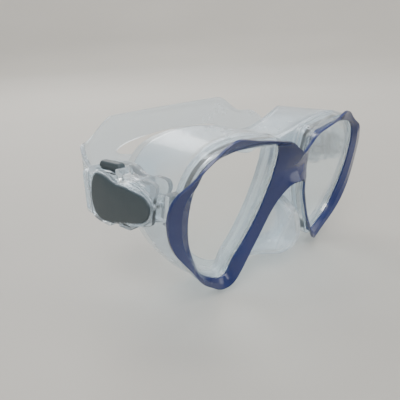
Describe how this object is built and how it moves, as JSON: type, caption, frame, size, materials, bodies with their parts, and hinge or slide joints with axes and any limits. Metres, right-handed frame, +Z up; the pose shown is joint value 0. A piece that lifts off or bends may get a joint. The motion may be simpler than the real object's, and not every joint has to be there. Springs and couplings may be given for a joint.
{
  "type": "diving mask",
  "caption": "Diving mask with two teardrop lenses, blue faceted frame, clear silicone skirt with nose pocket, clear swivel buckles with dark covers, and a split strap.",
  "frame": {"origin": "bottom centre of the whole mask: middle of its width and depth, level of its lowest point", "axes": "+Z up, lenses face -Y, strap behind towards +Y, +X to the wearer's left; symmetric about X = 0"},
  "size_m": [0.169, 0.1032, 0.0865],
  "materials": {
    "frame_blue": "glossy blue polycarbonate",
    "lens_glass": "clear tempered glass",
    "clear_plastic": "clear moulded plastic",
    "clear_silicone": "clear satin silicone",
    "dark_plastic": "dark grey satin plastic",
    "steel": "stainless steel"
  },
  "bodies": {
    "mask": {"front_frame": "frame_blue", "skirt": "clear_silicone", "lens_left": "lens_glass", "lens_right": "lens_glass", "lens_retainer_left": "clear_plastic", "lens_retainer_right": "clear_plastic", "hinge_arm_left": "clear_plastic", "hinge_arm_right": "clear_plastic", "swivel_pin_left": "steel", "swivel_pin_right": "steel"},
    "buckle_left": {"buckle_housing_left": "clear_plastic", "buckle_cover_left": "dark_plastic", "roller_axle_left": "steel", "pawl_pin_left": "steel", "top_spring_left": "steel", "bottom_spring_left": "steel", "strap_keeper_left": "clear_silicone", "strap": "clear_silicone"},
    "top_button_left": {"top_button_left": "dark_plastic"},
    "bottom_button_left": {"bottom_button_left": "clear_plastic"},
    "pawl_left": {"pawl_left": "dark_plastic"},
    "strap_roller_left": {"strap_roller_left": "clear_plastic"},
    "buckle_right": {"buckle_housing_right": "clear_plastic", "buckle_cover_right": "dark_plastic", "roller_axle_right": "steel", "pawl_pin_right": "steel", "top_spring_right": "steel", "bottom_spring_right": "steel", "strap_keeper_right": "clear_silicone"},
    "top_button_right": {"top_button_right": "dark_plastic"},
    "bottom_button_right": {"bottom_button_right": "clear_plastic"},
    "pawl_right": {"pawl_right": "dark_plastic"},
    "strap_roller_right": {"strap_roller_right": "clear_plastic"}
  },
  "joints": [
    {"name": "buckle_swing_left", "type": "hinge", "parent": "mask", "child": "buckle_left", "pos_m": [0.078, -0.02615, 0.05753], "axis": [1, 0, 0], "range_deg": [-18, 18]},
    {"name": "top_button_press_left", "type": "slide", "parent": "buckle_left", "child": "top_button_left", "axis": [0, 0, -1], "range_m": [0, 0.0015], "stiffness_N_per_m": 1500, "springref_m": -0.001, "deforming": ["top_spring_left"]},
    {"name": "bottom_button_press_left", "type": "slide", "parent": "buckle_left", "child": "bottom_button_left", "axis": [0, 0, 1], "range_m": [0, 0.0015], "stiffness_N_per_m": 1500, "springref_m": -0.001, "deforming": ["bottom_spring_left"]},
    {"name": "pawl_lift_left", "type": "hinge", "parent": "buckle_left", "child": "pawl_left", "pos_m": [0.073, -0.00155, 0.05493], "axis": [0, 0, -1], "range_deg": [-1, 16]},
    {"name": "roller_turn_left", "type": "hinge", "parent": "buckle_left", "child": "strap_roller_left", "pos_m": [0.0759, 0.00885, 0.05493], "axis": [0, 0, 1], "continuous": true},
    {"name": "buckle_swing_right", "type": "hinge", "parent": "mask", "child": "buckle_right", "pos_m": [-0.078, -0.02615, 0.05753], "axis": [1, 0, 0], "range_deg": [-18, 18]},
    {"name": "top_button_press_right", "type": "slide", "parent": "buckle_right", "child": "top_button_right", "axis": [0, 0, -1], "range_m": [0, 0.0015], "stiffness_N_per_m": 1500, "springref_m": -0.001, "deforming": ["top_spring_right"]},
    {"name": "bottom_button_press_right", "type": "slide", "parent": "buckle_right", "child": "bottom_button_right", "axis": [0, 0, 1], "range_m": [0, 0.0015], "stiffness_N_per_m": 1500, "springref_m": -0.001, "deforming": ["bottom_spring_right"]},
    {"name": "pawl_lift_right", "type": "hinge", "parent": "buckle_right", "child": "pawl_right", "pos_m": [-0.073, -0.00155, 0.05493], "axis": [0, 0, 1], "range_deg": [-1, 16]},
    {"name": "roller_turn_right", "type": "hinge", "parent": "buckle_right", "child": "strap_roller_right", "pos_m": [-0.0759, 0.00885, 0.05493], "axis": [0, 0, 1], "continuous": true}
  ],
  "couplings": [
    {"joint": "buckle_swing_right", "follows": "buckle_swing_left", "ratio": 1},
    {"joint": "pawl_lift_left", "follows": "top_button_press_left", "rad_per_m": 174.53},
    {"joint": "pawl_lift_right", "follows": "top_button_press_right", "rad_per_m": 174.53}
  ]
}
